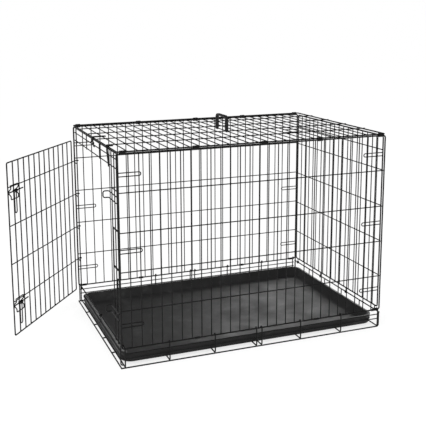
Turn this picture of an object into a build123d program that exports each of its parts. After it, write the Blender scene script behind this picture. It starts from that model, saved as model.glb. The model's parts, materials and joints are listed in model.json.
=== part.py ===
from build123d import *
import math
import os

os.makedirs("parts", exist_ok=True)

# Crate size in millimetres, measured between the centrelines of the outer wires
LENGTH = 1066.8
WIDTH = 724.0
TOP_Z = 787.0
RAIL_Z = 75.0
PITCH = 38.1
LEVEL_BAYS = 5

# Wire radii and the depth to which two crossing wires melt together at a weld
FRAME_R = 2.75
WIRE_R = 2.0
BASE_R = 2.5
SMALL_R = 1.9
WELD = 0.4
TOUCH = 0.1
RUNNING_GAP = 0.4
CORNER_R = 9.0

# Floor basket
BASE_CROSS_X = (-355.6, -177.8, -9.0, 13.0, 177.8, 355.6)
BASE_BEND_R = 8.0
HOOK_SWEEP = 190.0
BASKET_WIRES_Z = (37.0, 55.0)
BASKET_OVERHANG = 4.0
EDGE_WIRE_Y = 361.5
REAR_RIM_Z = 63.0
RIM_OVERHANG = 4.0
RIM_POST_R = 2.2
RIM_POST_FOOT_Z = 2.25
SILL_POST_Y = 345.0

# End panels: they stand between the long sides
FRONT_HALF_WIDTH = 354.0
REAR_HALF_WIDTH = 349.0
END_TOP_Z = 778.0
REAR_BOTTOM_Z = 81.0
REAR_BAYS = 19
REAR_EYE_BAYS = (0.5, 6.5, 12.5, 18.5)
HEADER_MID_Z = 757.0
HEADER_LOW_Z = 724.0
HEADER_UPRIGHTS_Y = (113.0, -104.0)
THRESHOLD_Z = 78.0
HINGE_R = 2.5
HINGE_WIRE_Y = 306.0
LATCH_JAMB_Y = (-316.0, -278.0)
TIE_DROP = 16.0
TIE_OVERHANG = 4.0

# Corner fingers
FINGER_LEVELS = (158.0, 431.0, 706.0)
FINGER_LENGTH = 85.0
FINGER_GAP = 13.0

# Door, in its own frame: along from the hinge, up, and out from the hinge axis
DOOR_OPEN_DEG = 37.5
DOOR_REACH = 548.0
DOOR_HINGE_SIDE = 33.0
DOOR_BAYS = 13
DOOR_BOTTOM_Z = 86.0
DOOR_TOP_Z = 733.0
DOOR_FRAME_R = 2.5
DOOR_UPRIGHT_R = 2.3
DOOR_CORNER_R = 6.0
DOOR_EYE_SWEEP = 290.0

# Slide bolts
BOLT_R = 2.5
BOLT_OUT = 18.5
BOLT_DROP = 26.0
BOLT_START = 424.0
BOLT_END = 530.0
BOLT_TIP_DROP = 8.0
KEEPERS_AT = (468.0, 520.0)
KEEPER_R = 2.1
KEEPER_HEIGHT = 52.0
KEEPER_BEND_R = 5.0
KEEPER_OVERHANG = 4.0
BOW_OUT = 25.2
BOW_HALF_HEIGHT = 14.0
PULL_LENGTH = 83.0
PULL_WIDTH = 14.0
PULL_R = 2.1
STRIKE_R = 2.2
STRIKE_Y = -247.5
STRIKE_OUT = 25.0
STRIKE_HALF_HEIGHT = 12.0
STRIKE_BEND_R = 7.0
STAPLE_Y = -300.0
STAPLE_Z = (365.0, 507.0)

# Roof: its edge wires lie on the long sides' top rails, a little way in, tied on by clips
ROOF_INSET = 3.0
ROOF_RISE = 5.6
RING_SLOTS = (0.5, 7.5, 14.5, 20.5, 27.5)
RING_LENGTH = 20.0
RING_WALL = 2.0
RING_GAP = 0.25

# Sleeves round the long sides' bottom rails
SLEEVES_X = (-508.5, -247.65, 247.65, 508.5)
SLEEVE_LENGTH = 20.0
SLEEVE_WALL = 1.6

# Roof hooks: centre, lowest point and tongue length of each
HOOK_WIDTH = 14.0
HOOK_BEND_R = 4.0
TONGUE_HOOK = (-20.0, 753.0, 50.0)
SHORT_HOOK = (-245.0, 716.0, 20.0)

# Tray
TRAY_LENGTH = 1056.0
TRAY_WIDTH = 676.0
TRAY_CORNER_R = 42.0
TRAY_Z = 10.0
TRAY_HEIGHT = 34.0
TRAY_FLOOR_THICK = 2.6
TRAY_SKIRT_INSETS = (4.0, 2.0)
TRAY_RIM_DROP = 3.5
TRAY_RIDGE = (1.0, 26.5, 2.5)
TRAY_SLOPE_INSETS = (38.0, 8.0)
TRAY_HOLLOW_OUTER = (6.6, 5.0)
TRAY_HOLLOW_INNER = (36.9, 10.1)
TRAY_HOLLOW_HEIGHT = 28.0
TRAY_FOLD_R = 10.0

# Tray stop: a wire hook that hangs from the threshold
STOP_Y = -25.0
STOP_R = 1.6
STOP_TOP_Z = 93.0
STOP_LOW_Z = 50.0
STOP_FOOT = 10.0
STOP_BEND_R = 4.0

# Carry handle
HANDLE_SPAN = 100.0
HANDLE_HEIGHT = 62.0
HANDLE_WIDTH = 14.0
HANDLE_THICK = 9.0
HANDLE_EDGE_R = 3.0
HANDLE_OUTER_BEND = 18.0
HANDLE_INNER_BEND = 10.0
CLIP_R = 5.0
CLIP_LENGTH = 10.0

# Derived places
X0 = LENGTH / 2
Y0 = WIDTH / 2
BAYS = round(LENGTH / PITCH)
LEVEL_STEP = (TOP_Z - RAIL_Z) / LEVEL_BAYS
LEVELS = [RAIL_Z + LEVEL_STEP * k for k in range(1, LEVEL_BAYS)]
LAYER = 2 * WIRE_R - WELD
ROOF_HALF_WIDTH = Y0 - ROOF_INSET
SIDE_TOP_Z = TOP_Z - ROOF_RISE
ROOF_WIRES_Y = [WIDTH / LEVEL_BAYS * k for k in (-1.5, -0.5, 0.5, 1.5)]
BASE_CROSS_Z = 3 * BASE_R - WELD
HOOK_R = FRAME_R + RUNNING_GAP + BASE_R
THRESHOLD_X = -X0 + WIRE_R + TOUCH + FRAME_R
BASE_END_X = -THRESHOLD_X + HOOK_R - BASE_BEND_R - BASE_R - TOUCH
BASE_CROSS_PLACES = (-BASE_END_X, *BASE_CROSS_X, BASE_END_X)
FLOOR_WIRE_END = X0 - BASE_BEND_R - TOUCH
ARM_END_Y = -FRONT_HALF_WIDTH + FRAME_R + TOUCH
UPPER_LATCH_Z = LEVELS[3]
LOWER_LATCH_Z = LEVELS[0]

OPEN = math.radians(DOOR_OPEN_DEG)
DOOR_ALONG = Vector(-math.sin(OPEN), -math.cos(OPEN), 0)
DOOR_OUT = Vector(-math.cos(OPEN), math.sin(OPEN), 0)
DOOR_AXIS = Vector(-X0 + WIRE_R - HINGE_R, HINGE_WIRE_Y, 0)
DOOR_WIRE_OUT = HINGE_R + RUNNING_GAP + WIRE_R
DOOR_FACE_OUT = DOOR_WIRE_OUT + LAYER
DOOR_STEP = (DOOR_REACH - DOOR_HINGE_SIDE) / DOOR_BAYS


def jamb_x(radius):
    """Where an upright of the front end stands, its inside flush with the others."""
    return -X0 + WIRE_R - radius


def inner_x(radius):
    """Where a level wire lies on the inside of the front end's uprights."""
    return -X0 + WIRE_R + TOUCH + radius


def door_point(along, out, z):
    """A point of the open door from its own coordinates."""
    return DOOR_AXIS + DOOR_ALONG * along + DOOR_OUT * out + Vector(0, 0, z)


def door_face_plane(out):
    """Plane parallel to the open door, drawn along and up."""
    return Plane(origin=door_point(0, out, 0), x_dir=DOOR_ALONG, z_dir=DOOR_OUT)


def door_level_plane(z):
    """Level plane across the open door, drawn along and inwards."""
    return Plane(origin=door_point(0, 0, z), x_dir=DOOR_ALONG, z_dir=(0, 0, 1))


def keep(builder, label):
    """Name a finished piece and write it."""
    builder.part.label = label
    export_step(builder.part, f"parts/{label}.step")


def bent_wire(points, bend_radius, wire_radius):
    """A round wire along straight runs with rounded bends."""
    with BuildPart() as wire:
        with BuildLine() as path:
            FilletPolyline(*points, radius=bend_radius)
        with BuildSketch(Plane(path.line @ 0, z_dir=path.line % 0)):
            Circle(wire_radius)
        sweep()
    return wire.part


def ring(plane, major, minor):
    """A closed wire ring in a plane."""
    with BuildPart() as eye:
        with BuildLine(plane) as path:
            CenterArc((0, 0), major, 0, 360)
        with BuildSketch(Plane(path.line @ 0, z_dir=path.line % 0)):
            Circle(minor)
        sweep()
    return eye.part


def welded_panel(face, corners, uprights, crossings, frame_radius):
    """A flat wire panel: a bent frame, uprights in its plane and cross wires on one face.

    face is the panel's plane, drawn across and up. uprights are places across, and
    crossings are (height, left end, right end) of the wires on the plane's normal side.
    """
    (left, low), (right, high) = corners
    outline = [(left, low), (right, low), (right, high), (left, high)]
    foot = Plane(origin=face.from_local_coords(Vector(0, low, 0)), x_dir=face.x_dir, z_dir=face.y_dir)
    side = Plane(origin=face.from_local_coords(Vector(0, 0, LAYER)), x_dir=face.y_dir, z_dir=face.x_dir)
    with BuildPart() as panel:
        with BuildLine(face) as path:
            FilletPolyline(*outline, radius=CORNER_R, close=True)
        with BuildSketch(Plane(path.line @ 0, z_dir=path.line % 0)):
            Circle(frame_radius)
        sweep()
        with BuildSketch(foot):
            with Locations([(across, 0) for across in uprights]):
                Circle(WIRE_R)
        extrude(amount=high - low)
        for height, start, end in crossings:
            with BuildSketch(side.offset(start)):
                with Locations((height, 0)):
                    Circle(WIRE_R)
            extrude(amount=end - start)
    return panel


def long_side(side):
    """Long side panel; side is -1 at the front and 1 at the back."""
    face = Plane(origin=(0, side * Y0, 0), x_dir=(-side, 0, 0), z_dir=(0, side, 0))
    uprights = [-X0 + PITCH * k for k in range(1, BAYS)]
    crossings = [(z, -X0, X0) for z in LEVELS]
    return welded_panel(face, ((-X0, RAIL_Z), (X0, SIDE_TOP_Z)), uprights, crossings, FRAME_R)


def hooked_upright(foot, rail_z):
    """Upturned end of a floor wire, hooked over a rail.

    foot is a plane through the rail's plan position, drawn outwards and up.
    """
    bend_z = BASE_CROSS_Z + BASE_BEND_R
    with BuildPart() as hook:
        with BuildLine(foot) as path:
            CenterArc((HOOK_R - BASE_BEND_R, bend_z), BASE_BEND_R, -90, 90)
            Line((HOOK_R, bend_z), (HOOK_R, rail_z))
            CenterArc((0, rail_z), HOOK_R, 0, HOOK_SWEEP)
        with BuildSketch(Plane(path.line @ 0, z_dir=path.line % 0)):
            Circle(BASE_R)
        sweep()
    return hook.part


def basket_wall(side):
    """One long wall of the floor basket: hooks that carry the side, on three long wires."""
    hooks = []
    for x in BASE_CROSS_PLACES:
        foot = Plane(origin=(x, side * Y0, 0), x_dir=(0, side, 0), z_dir=(side, 0, 0))
        hooks.append(hooked_upright(foot, RAIL_Z))
    wire_y = side * (Y0 + HOOK_R - BASE_R - WIRE_R + WELD)
    wire_end = BASE_END_X + BASKET_OVERHANG
    with BuildPart() as wall:
        add(hooks)
        with BuildSketch(Plane.YZ.offset(-wire_end)):
            with Locations([(wire_y, z) for z in BASKET_WIRES_Z]):
                Circle(WIRE_R)
        extrude(amount=2 * wire_end)
        with BuildSketch(Plane.YZ.offset(-X0)):
            with Locations((side * EDGE_WIRE_Y, BASE_R)):
                Circle(BASE_R)
        extrude(amount=X0 + FLOOR_WIRE_END)
    return wall


def rim_post(y):
    """Upturned rear end of a floor wire, from its bend up to the rear rim."""
    bend_z = RIM_POST_FOOT_Z + BASE_BEND_R
    with BuildPart() as post:
        with BuildLine(Plane(origin=(X0, y, 0), x_dir=(1, 0, 0), z_dir=(0, -1, 0))) as path:
            CenterArc((-BASE_BEND_R, bend_z), BASE_BEND_R, -90, 90)
            Line((0, bend_z), (0, REAR_RIM_Z))
        with BuildSketch(Plane(path.line @ 0, z_dir=path.line % 0)):
            Circle(RIM_POST_R)
        sweep()
    return post.part


def roof_rings(side):
    """Clips round the roof's edge wire and a long side's top rail."""
    middle = (side * (Y0 + ROOF_HALF_WIDTH) / 2, (TOP_Z + SIDE_TOP_Z) / 2)
    slope = (0, side * ROOF_INSET, -ROOF_RISE)
    spread = math.hypot(ROOF_INSET, ROOF_RISE)
    inner = FRAME_R + RING_GAP
    with BuildPart() as clips:
        for slot in RING_SLOTS:
            start = -X0 + PITCH * slot - RING_LENGTH / 2
            with BuildSketch(Plane(origin=(start, *middle), x_dir=slope, z_dir=(1, 0, 0))):
                SlotCenterToCenter(spread, 2 * (inner + RING_WALL))
                SlotCenterToCenter(spread, 2 * inner, mode=Mode.SUBTRACT)
            extrude(amount=RING_LENGTH)
    return clips


def rail_sleeves(side):
    """Sleeves round the bottom rail of a long side."""
    inner = FRAME_R + RING_GAP
    with BuildPart() as sleeves:
        for x in SLEEVES_X:
            with BuildSketch(Plane.YZ.offset(x - SLEEVE_LENGTH / 2)):
                with Locations((side * Y0, RAIL_Z)):
                    Circle(inner + SLEEVE_WALL)
                    Circle(inner, mode=Mode.SUBTRACT)
            extrude(amount=SLEEVE_LENGTH)
    return sleeves


def corner_fingers(end, inset, half_width):
    """Long wire loops from an end panel's posts along the inside of the long sides.

    inset is how far the posts' inner face lies in from the end, and half_width is the
    posts' distance from the middle.
    """
    root = end * (X0 - inset - TOUCH)
    tip = end * (X0 - FINGER_LENGTH)
    half = FINGER_GAP / 2
    loops = []
    for side in (-1, 1):
        y = side * half_width
        for z in FINGER_LEVELS:
            route = [(root, y, z + half), (tip, y, z + half), (tip, y, z - half), (root, y, z - half)]
            loops.append(bent_wire(route, half - 0.05, SMALL_R))
    with BuildPart() as fingers:
        add(loops)
    return fingers


def roof_hook(centre, low_z, tongue):
    """Wire loop from the header up and over the roof's end wire."""
    leg_x = -X0 + WIRE_R - SMALL_R
    over_x = -X0 - FRAME_R - SMALL_R - RUNNING_GAP
    over_z = TOP_Z + FRAME_R + SMALL_R + RUNNING_GAP
    near = centre + HOOK_WIDTH / 2
    far = centre - HOOK_WIDTH / 2
    shoulder_z = END_TOP_Z - FRAME_R
    climb = [(leg_x, low_z), (over_x, shoulder_z), (over_x, over_z), (over_x + tongue, over_z)]
    route = [(x, near, z) for x, z in climb] + [(x, far, z) for x, z in reversed(climb)]
    with BuildPart() as hook:
        add(bent_wire(route, HOOK_BEND_R, SMALL_R))
    return hook


def strike(bolt_z):
    """Wire loop on the latch jamb that takes the end of a bolt."""
    arm_x = -X0 - WIRE_R - STRIKE_R - TOUCH
    out_x = -X0 - STRIKE_OUT
    high = bolt_z + STRIKE_HALF_HEIGHT
    low = bolt_z - STRIKE_HALF_HEIGHT
    route = [(arm_x, ARM_END_Y, high), (arm_x, STRIKE_Y, high), (out_x, STRIKE_Y, high)]
    route += [(out_x, STRIKE_Y, low), (arm_x, STRIKE_Y, low), (arm_x, ARM_END_Y, low)]
    with BuildPart() as loop:
        add(bent_wire(route, STRIKE_BEND_R, STRIKE_R))
    return loop


def latch_bracket(level):
    """Wire frame on the door's uprights; its two sides bow out round the bolt."""
    bar_out = DOOR_FACE_OUT + DOOR_UPRIGHT_R + KEEPER_R + TOUCH
    low = level - KEEPER_HEIGHT
    bolt_z = level - BOLT_DROP
    inner, outer = KEEPERS_AT
    bow = [(bar_out, bolt_z + BOW_HALF_HEIGHT), (BOW_OUT, bolt_z), (bar_out, bolt_z - BOW_HALF_HEIGHT)]
    corners = [(outer + KEEPER_OVERHANG, bar_out, level), (inner, bar_out, level)]
    corners += [(inner, out, z) for out, z in bow]
    corners += [(inner, bar_out, low), (outer, bar_out, low)]
    corners += [(outer, out, z) for out, z in reversed(bow)]
    corners.append((outer, bar_out, level - 2 * KEEPER_R - TOUCH))
    with BuildPart() as bracket:
        add(bent_wire([door_point(*corner) for corner in corners], KEEPER_BEND_R, KEEPER_R))
    return bracket


def bolt(level):
    """Sliding rod with a tip that turns down."""
    z = level - BOLT_DROP
    route = [
        door_point(BOLT_START, BOLT_OUT, z),
        door_point(BOLT_END, BOLT_OUT, z),
        door_point(BOLT_END, BOLT_OUT, z - BOLT_TIP_DROP),
    ]
    with BuildPart() as rod:
        add(bent_wire(route, 2 * BOLT_R, BOLT_R))
        chamfer(rod.faces().filter_by(GeomType.PLANE).edges(), BOLT_R / 3)
    return rod


def bolt_pull(level):
    """Hairpin that hangs from a bolt by an eye at the top of each leg."""
    z = level - BOLT_DROP
    near = KEEPERS_AT[0] + KEEPER_R + PULL_R + 1.0
    far = near + PULL_WIDTH
    eye_r = BOLT_R + RUNNING_GAP + PULL_R
    low = z - PULL_LENGTH
    legs = [(near, z - eye_r), (near, low), (far, low), (far, z - eye_r)]
    route = [door_point(along, BOLT_OUT, height) for along, height in legs]
    pieces = [bent_wire(route, PULL_WIDTH / 2 - 0.05, PULL_R)]
    for along in (near, far):
        eye = Plane(origin=door_point(along, BOLT_OUT, z), x_dir=DOOR_OUT, z_dir=-DOOR_ALONG)
        pieces.append(ring(eye, eye_r, PULL_R))
    with BuildPart() as pull:
        add(pieces)
    return pull


def tray_outline(inset):
    """Rounded outline of the tray, drawn in by an inset."""
    RectangleRounded(TRAY_LENGTH - 2 * inset, TRAY_WIDTH - 2 * inset, max(TRAY_CORNER_R - inset, TRAY_FOLD_R))


def tray_taper(low_inset, low_z, high_inset, high_z):
    """A tapered block between two outlines of the tray."""
    with BuildPart() as block:
        with BuildSketch(Plane.XY.offset(low_z)):
            tray_outline(low_inset)
        with BuildSketch(Plane.XY.offset(high_z)):
            tray_outline(high_inset)
        loft()
    return block.part


# Floor grid: wires along the crate, with cross wires welded on top of them
cross_half = Y0 + HOOK_R - BASE_BEND_R
with BuildPart() as base_floor_grid:
    with BuildSketch(Plane.YZ.offset(-X0)):
        with Locations([(y, BASE_R) for y in ROOF_WIRES_Y]):
            Circle(BASE_R)
    extrude(amount=X0 + FLOOR_WIRE_END)
    with BuildSketch(Plane.XZ.offset(-cross_half)):
        with Locations([(x, BASE_CROSS_Z) for x in BASE_CROSS_PLACES]):
            Circle(BASE_R)
    extrude(amount=2 * cross_half)
keep(base_floor_grid, "base_floor_grid")

base_front_wall = basket_wall(-1)
keep(base_front_wall, "base_front_wall")

base_back_wall = basket_wall(1)
keep(base_back_wall, "base_back_wall")

# Rear rim: the floor's long wires turned up to a rod that the rear panel hinges on
rim_half = EDGE_WIRE_Y + RIM_OVERHANG
rim_posts = [rim_post(y) for y in (-EDGE_WIRE_Y, *ROOF_WIRES_Y, EDGE_WIRE_Y)]
with BuildPart() as base_rear_rim:
    with BuildSketch(Plane.XZ.offset(-rim_half)):
        with Locations((X0, REAR_RIM_Z)):
            Circle(BASE_R)
    extrude(amount=2 * rim_half)
    fillet(base_rear_rim.faces().filter_by(GeomType.PLANE).edges(), BASE_R / 2)
    add(rim_posts)
keep(base_rear_rim, "base_rear_rim")

# Front sill: a wire across the tray's way out, on the ends of the floor's long wires
sill_x = -X0 - BASE_R - TOUCH
sill_half = EDGE_WIRE_Y + BASE_R
with BuildPart() as base_front_sill:
    with BuildSketch(Plane.XZ.offset(-sill_half)):
        with Locations((sill_x, BASE_R)):
            Circle(BASE_R)
    extrude(amount=2 * sill_half)
    fillet(base_front_sill.faces().filter_by(GeomType.PLANE).edges(), BASE_R / 2)
keep(base_front_sill, "base_front_sill")

# Corner posts beside the tray's way out, hooked over the threshold wire
post_hooks = []
for post_y in (-SILL_POST_Y, SILL_POST_Y):
    post_foot = Plane(origin=(THRESHOLD_X, post_y, 0), x_dir=(-1, 0, 0), z_dir=(0, 1, 0))
    post_hooks.append(hooked_upright(post_foot, THRESHOLD_Z))
with BuildPart() as base_corner_posts:
    add(post_hooks)
keep(base_corner_posts, "base_corner_posts")

front_side_panel = long_side(-1)
keep(front_side_panel, "front_side_panel")

back_side_panel = long_side(1)
keep(back_side_panel, "back_side_panel")

front_rail_sleeves = rail_sleeves(-1)
keep(front_rail_sleeves, "front_rail_sleeves")

back_rail_sleeves = rail_sleeves(1)
keep(back_rail_sleeves, "back_rail_sleeves")

# Roof
roof_face = Plane(origin=(0, 0, TOP_Z), x_dir=(0, -1, 0), z_dir=(0, 0, 1))
with BuildPart() as top_panel:
    with BuildLine(roof_face) as roof_path:
        FilletPolyline(
            (-ROOF_HALF_WIDTH, -X0),
            (ROOF_HALF_WIDTH, -X0),
            (ROOF_HALF_WIDTH, X0),
            (-ROOF_HALF_WIDTH, X0),
            radius=CORNER_R,
            close=True,
        )
    with BuildSketch(Plane(roof_path.line @ 0, z_dir=roof_path.line % 0)):
        Circle(FRAME_R)
    sweep()
    with BuildSketch(Plane.XZ.offset(-ROOF_HALF_WIDTH)):
        with Locations([(-X0 + PITCH * k, TOP_Z) for k in range(1, BAYS)]):
            Circle(WIRE_R)
    extrude(amount=2 * ROOF_HALF_WIDTH)
    with BuildSketch(Plane.YZ.offset(-X0)):
        with Locations([(y, TOP_Z + LAYER) for y in ROOF_WIRES_Y]):
            Circle(WIRE_R)
    extrude(amount=2 * X0)
keep(top_panel, "top_panel")

top_front_rings = roof_rings(-1)
keep(top_front_rings, "top_front_rings")

top_back_rings = roof_rings(1)
keep(top_back_rings, "top_back_rings")

# Front end: header, two jambs and a threshold round the doorway
with BuildPart() as front_header:
    with BuildSketch(Plane.XZ.offset(-FRONT_HALF_WIDTH)):
        with Locations((inner_x(FRAME_R), END_TOP_Z)):
            Circle(FRAME_R)
        with Locations([(inner_x(WIRE_R), z) for z in (HEADER_MID_Z, HEADER_LOW_Z)]):
            Circle(WIRE_R)
    extrude(amount=2 * FRONT_HALF_WIDTH)
    with BuildSketch(Plane.XY.offset(HEADER_LOW_Z - WIRE_R)):
        with Locations([(inner_x(WIRE_R) - LAYER, y) for y in HEADER_UPRIGHTS_Y]):
            Circle(WIRE_R)
    extrude(amount=END_TOP_Z - HEADER_LOW_Z + WIRE_R)
keep(front_header, "front_header")

jamb_height = END_TOP_Z - THRESHOLD_Z
tie_levels = [z - TIE_DROP for z in LEVELS]
with BuildPart() as front_hinge_jamb:
    with BuildSketch(Plane.XY.offset(THRESHOLD_Z)):
        with Locations((jamb_x(FRAME_R), FRONT_HALF_WIDTH)):
            Circle(FRAME_R)
        with Locations((jamb_x(HINGE_R), HINGE_WIRE_Y)):
            Circle(HINGE_R)
    extrude(amount=jamb_height)
    with BuildSketch(Plane.XZ.offset(-FRONT_HALF_WIDTH)):
        with Locations([(jamb_x(HINGE_R), z) for z in tie_levels]):
            Circle(WIRE_R)
    extrude(amount=FRONT_HALF_WIDTH - HINGE_WIRE_Y)
keep(front_hinge_jamb, "front_hinge_jamb")

with BuildPart() as front_latch_jamb:
    with BuildSketch(Plane.XY.offset(THRESHOLD_Z)):
        with Locations((jamb_x(FRAME_R), -FRONT_HALF_WIDTH)):
            Circle(FRAME_R)
        with Locations([(jamb_x(WIRE_R), y) for y in LATCH_JAMB_Y]):
            Circle(WIRE_R)
    extrude(amount=jamb_height)
    tie_end_y = LATCH_JAMB_Y[1] + TIE_OVERHANG
    with BuildSketch(Plane.XZ.offset(-tie_end_y)):
        with Locations([(-X0 + LAYER, z) for z in LEVELS]):
            Circle(WIRE_R)
    extrude(amount=FRONT_HALF_WIDTH + tie_end_y)
keep(front_latch_jamb, "front_latch_jamb")

with BuildPart() as front_threshold:
    with BuildSketch(Plane.XZ.offset(-FRONT_HALF_WIDTH)):
        with Locations((THRESHOLD_X, THRESHOLD_Z)):
            Circle(FRAME_R)
    extrude(amount=2 * FRONT_HALF_WIDTH)
    fillet(front_threshold.faces().filter_by(GeomType.PLANE).edges(), FRAME_R / 2)
keep(front_threshold, "front_threshold")

front_fingers = corner_fingers(-1, WIRE_R, FRONT_HALF_WIDTH)
keep(front_fingers, "front_fingers")

roof_tongue_hook = roof_hook(*TONGUE_HOOK)
keep(roof_tongue_hook, "roof_tongue_hook")

roof_short_hook = roof_hook(*SHORT_HOOK)
keep(roof_short_hook, "roof_short_hook")

upper_strike = strike(UPPER_LATCH_Z - BOLT_DROP)
keep(upper_strike, "upper_strike")

lower_strike = strike(LOWER_LATCH_Z - BOLT_DROP)
keep(lower_strike, "lower_strike")

# Upright staple on the latch jamb
staple_x = -X0 - WIRE_R - SMALL_R - TOUCH
staple_low, staple_high = STAPLE_Z
staple_route = [
    (staple_x, ARM_END_Y, staple_low),
    (staple_x, STAPLE_Y, staple_low),
    (staple_x, STAPLE_Y, staple_high),
    (staple_x, ARM_END_Y, staple_high),
]
with BuildPart() as jamb_staple:
    add(bent_wire(staple_route, STRIKE_BEND_R, SMALL_R))
keep(jamb_staple, "jamb_staple")

# Door panel: the cross wires are curled round the hinge wire
door_wires = []
for z in LEVELS:
    with BuildPart() as door_wire:
        with BuildLine(door_level_plane(z)) as wire_path:
            Line((DOOR_REACH, -DOOR_WIRE_OUT), (0, -DOOR_WIRE_OUT))
            CenterArc((0, 0), DOOR_WIRE_OUT, -90, -DOOR_EYE_SWEEP)
        with BuildSketch(Plane(wire_path.line @ 0, z_dir=wire_path.line % 0)):
            Circle(WIRE_R)
        sweep()
    door_wires.append(door_wire.part)
with BuildPart() as door_panel:
    with BuildLine(door_face_plane(DOOR_FACE_OUT)) as door_path:
        FilletPolyline(
            (DOOR_HINGE_SIDE, DOOR_BOTTOM_Z),
            (DOOR_REACH, DOOR_BOTTOM_Z),
            (DOOR_REACH, DOOR_TOP_Z),
            (DOOR_HINGE_SIDE, DOOR_TOP_Z),
            radius=DOOR_CORNER_R,
            close=True,
        )
    with BuildSketch(Plane(door_path.line @ 0, z_dir=door_path.line % 0)):
        Circle(DOOR_FRAME_R)
    sweep()
    with BuildSketch(door_level_plane(DOOR_BOTTOM_Z)):
        with Locations([(DOOR_HINGE_SIDE + DOOR_STEP * k, -DOOR_FACE_OUT) for k in range(1, DOOR_BAYS)]):
            Circle(DOOR_UPRIGHT_R)
    extrude(amount=DOOR_TOP_Z - DOOR_BOTTOM_Z)
    add(door_wires)
keep(door_panel, "door_panel")

upper_latch_bracket = latch_bracket(UPPER_LATCH_Z)
keep(upper_latch_bracket, "upper_latch_bracket")

lower_latch_bracket = latch_bracket(LOWER_LATCH_Z)
keep(lower_latch_bracket, "lower_latch_bracket")

upper_bolt = bolt(UPPER_LATCH_Z)
keep(upper_bolt, "upper_bolt")

lower_bolt = bolt(LOWER_LATCH_Z)
keep(lower_bolt, "lower_bolt")

upper_bolt_pull = bolt_pull(UPPER_LATCH_Z)
keep(upper_bolt_pull, "upper_bolt_pull")

lower_bolt_pull = bolt_pull(LOWER_LATCH_Z)
keep(lower_bolt_pull, "lower_bolt_pull")

# Rear panel, with its hinge eyes round the base's rear rim
rear_step = 2 * REAR_HALF_WIDTH / REAR_BAYS
rear_face = Plane(origin=(X0, 0, 0), x_dir=(0, -1, 0), z_dir=(-1, 0, 0))
rear_uprights = [-REAR_HALF_WIDTH + rear_step * k for k in range(1, REAR_BAYS)]
rear_crossings = [(z, -REAR_HALF_WIDTH, REAR_HALF_WIDTH) for z in (*LEVELS, HEADER_LOW_Z)]
rear_corners = ((-REAR_HALF_WIDTH, REAR_BOTTOM_Z), (REAR_HALF_WIDTH, END_TOP_Z))
rear_panel = welded_panel(rear_face, rear_corners, rear_uprights, rear_crossings, FRAME_R)
keep(rear_panel, "rear_panel")

eye_radius = BASE_R + RUNNING_GAP + SMALL_R
eye_places = [-REAR_HALF_WIDTH + rear_step * bay for bay in REAR_EYE_BAYS]
eye_parts = []
for eye_y in eye_places:
    eye_plane = Plane(origin=(X0, eye_y, REAR_RIM_Z), x_dir=(1, 0, 0), z_dir=(0, 1, 0))
    eye_parts.append(ring(eye_plane, eye_radius, SMALL_R))
with BuildPart() as rear_hinge_eyes:
    add(eye_parts)
    with BuildSketch(Plane.XY.offset(REAR_RIM_Z + eye_radius)):
        with Locations([(X0, eye_y) for eye_y in eye_places]):
            Circle(SMALL_R)
    extrude(amount=REAR_BOTTOM_Z - FRAME_R - TOUCH - REAR_RIM_Z - eye_radius)
keep(rear_hinge_eyes, "rear_hinge_eyes")

rear_fingers = corner_fingers(1, FRAME_R, REAR_HALF_WIDTH)
keep(rear_fingers, "rear_fingers")

# Tray: an upright skirt with a ridge, a flat rim, and inner walls that slope to the floor
tray_rim_z = TRAY_Z + TRAY_HEIGHT
ridge_inset, ridge_z, ridge_height = TRAY_RIDGE
hollow_top_z = TRAY_Z + TRAY_HOLLOW_HEIGHT
with BuildPart() as tray_hollow:
    add(tray_taper(TRAY_HOLLOW_OUTER[0], TRAY_Z, TRAY_HOLLOW_OUTER[1], hollow_top_z))
    add(tray_taper(TRAY_HOLLOW_INNER[0], TRAY_Z, TRAY_HOLLOW_INNER[1], hollow_top_z), mode=Mode.SUBTRACT)
with BuildPart() as tray:
    add(tray_taper(TRAY_SKIRT_INSETS[0], TRAY_Z, TRAY_SKIRT_INSETS[1], tray_rim_z))
    with BuildSketch(Plane.XY.offset(tray_rim_z - TRAY_RIM_DROP)):
        tray_outline(0)
    extrude(amount=TRAY_RIM_DROP)
    with BuildSketch(Plane.XY.offset(ridge_z)):
        tray_outline(ridge_inset)
    extrude(amount=ridge_height)
    add(
        tray_taper(TRAY_SLOPE_INSETS[0], TRAY_Z + TRAY_FLOOR_THICK, TRAY_SLOPE_INSETS[1], tray_rim_z),
        mode=Mode.SUBTRACT,
    )
    add(tray_hollow.part, mode=Mode.SUBTRACT)
keep(tray, "tray")

# Tray stop: an eye round the threshold, with a thumb tab above and a hooked leg below
stop_eye = FRAME_R + RUNNING_GAP + STOP_R
stop_plane = Plane(origin=(THRESHOLD_X, STOP_Y, THRESHOLD_Z), x_dir=(1, 0, 0), z_dir=(0, 1, 0))
stop_leg = [
    (THRESHOLD_X, STOP_Y, THRESHOLD_Z - stop_eye),
    (THRESHOLD_X, STOP_Y, STOP_LOW_Z),
    (THRESHOLD_X - STOP_FOOT, STOP_Y, STOP_LOW_Z),
]
with BuildPart() as tray_stop:
    add(ring(stop_plane, stop_eye, STOP_R))
    add(bent_wire(stop_leg, STOP_BEND_R, STOP_R))
    with BuildSketch(Plane.XY.offset(THRESHOLD_Z + stop_eye)):
        with Locations((THRESHOLD_X, STOP_Y)):
            Circle(STOP_R)
    extrude(amount=STOP_TOP_Z - THRESHOLD_Z - stop_eye)
keep(tray_stop, "tray_stop")

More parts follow.
